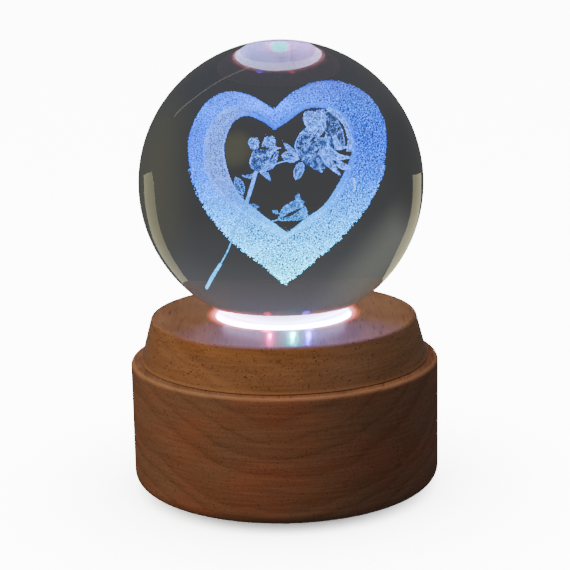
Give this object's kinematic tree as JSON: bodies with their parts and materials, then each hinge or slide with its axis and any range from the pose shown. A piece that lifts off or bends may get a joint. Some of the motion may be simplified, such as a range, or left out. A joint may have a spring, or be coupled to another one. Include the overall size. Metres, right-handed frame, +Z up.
{
  "type": "crystal ball lamp",
  "caption": "Engraved crystal ball on a slowly turning two-tier round wooden stand, lit from below through a dished window and driven by a wind-up musical movement.",
  "frame": {"origin": "on the table under the middle of the three feet, on the ball's axis", "axes": "+Z up through the ball's centre, -Y to the front, +X to the right seen from the front"},
  "size_m": [0.088, 0.088, 0.1282],
  "materials": {
    "wood": "oiled dark brown hardwood, satin, vertical growth lines",
    "crystal": "clear polished crystal glass with a laser-engraved cloud inside",
    "window": "frosted translucent",
    "black_plastic": "fine moulded texture",
    "white_plastic": "moulded acetal",
    "rubber": "matt",
    "pad": "foam",
    "brass": "turned",
    "steel": "plain",
    "spring_steel": "blued",
    "circuit_board": "solder mask",
    "led_red": "lit chip",
    "led_green": "lit chip",
    "led_blue": "lit chip",
    "led_white": "lit chip",
    "battery_foil": "foil pouch",
    "red_insulation": "sheathed pair",
    "white_insulation": "sheathed pair"
  },
  "bodies": {
    "base": {"base_shell": "wood", "bottom_cover": "black_plastic", "cover_screw_1": "steel", "cover_screw_2": "steel", "cover_screw_3": "steel", "foot_1": "rubber", "foot_2": "rubber", "foot_3": "rubber", "glide_ring": "white_plastic", "bearing_column": "white_plastic", "bearing_screw_1": "steel", "bearing_screw_2": "steel", "bearing_screw_3": "steel", "light_carrier": "white_plastic", "light_board": "circuit_board", "led_red": "led_red", "led_green": "led_green", "led_blue": "led_blue", "led_white": "led_white", "movement_plate": "steel", "plate_screw_1": "steel", "plate_screw_2": "steel", "plate_screw_3": "steel", "comb": "steel", "comb_screw_1": "steel", "comb_screw_2": "steel", "left_bracket": "steel", "right_bracket": "steel", "rear_panel": "black_plastic", "usb_socket": "steel", "switch_body": "steel", "control_board": "circuit_board", "battery": "battery_foil", "battery_pad": "pad", "battery_lead": "red_insulation", "light_lead": "white_insulation"},
    "upper_tier": {"turntable": "wood", "ring_gear": "white_plastic", "gear_screw_1": "steel", "gear_screw_2": "steel", "gear_screw_3": "steel", "window": "window"},
    "ball": {"crystal_ball": "crystal", "engraved_heart": "crystal", "engraved_roses": "crystal"},
    "barrel": {"spring_barrel": "brass", "drive_pinion": "white_plastic", "mainspring": "spring_steel"},
    "cylinder": {"pin_cylinder": "brass"},
    "transfer": {"transfer_wheel": "brass"},
    "fly": {"air_brake": "brass"},
    "winder": {"winding_knob": "brass", "winding_arbor": "steel", "ratchet_wheel": "steel"},
    "pawl": {"click": "steel"},
    "switch": {"switch_knob": "white_plastic"}
  },
  "joints": [
    {"name": "upper_tier_turn", "type": "hinge", "parent": "base", "child": "upper_tier", "pos_m": [0, 0, 0.0388], "axis": [0, 0, 1], "continuous": true},
    {"name": "ball_lift", "type": "slide", "parent": "upper_tier", "child": "ball", "axis": [0, 0, 1], "range_m": [0, 0.05]},
    {"name": "barrel_turn", "type": "hinge", "parent": "base", "child": "barrel", "pos_m": [-0.0192, 0, 0.015], "axis": [0, 0, 1], "continuous": true},
    {"name": "cylinder_turn", "type": "hinge", "parent": "base", "child": "cylinder", "pos_m": [0, 0, 0.02175], "axis": [1, 0, 0], "continuous": true},
    {"name": "transfer_turn", "type": "hinge", "parent": "base", "child": "transfer", "pos_m": [0, 0.008, 0.02175], "axis": [1, 0, 0], "continuous": true},
    {"name": "fly_turn", "type": "hinge", "parent": "base", "child": "fly", "pos_m": [0, 0.01493, 0.01775], "axis": [1, 0, 0], "continuous": true},
    {"name": "knob_wind", "type": "hinge", "parent": "base", "child": "winder", "pos_m": [-0.0192, 0, 0.0034], "axis": [0, 0, -1], "continuous": true},
    {"name": "click_rock", "type": "hinge", "parent": "base", "child": "pawl", "pos_m": [-0.0146, 0.0074, 0.0135], "axis": [0, 0, -1], "range_deg": [0, 12], "stiffness_Nm_per_rad": 0.0001},
    {"name": "switch_slide", "type": "slide", "parent": "base", "child": "switch", "axis": [1, 0, 0], "range_m": [0, 0.0025]}
  ],
  "couplings": [
    {"joint": "barrel_turn", "follows": "upper_tier_turn", "ratio": 3},
    {"joint": "cylinder_turn", "follows": "upper_tier_turn", "ratio": 6},
    {"joint": "transfer_turn", "follows": "upper_tier_turn", "ratio": -24},
    {"joint": "fly_turn", "follows": "upper_tier_turn", "ratio": 72}
  ]
}
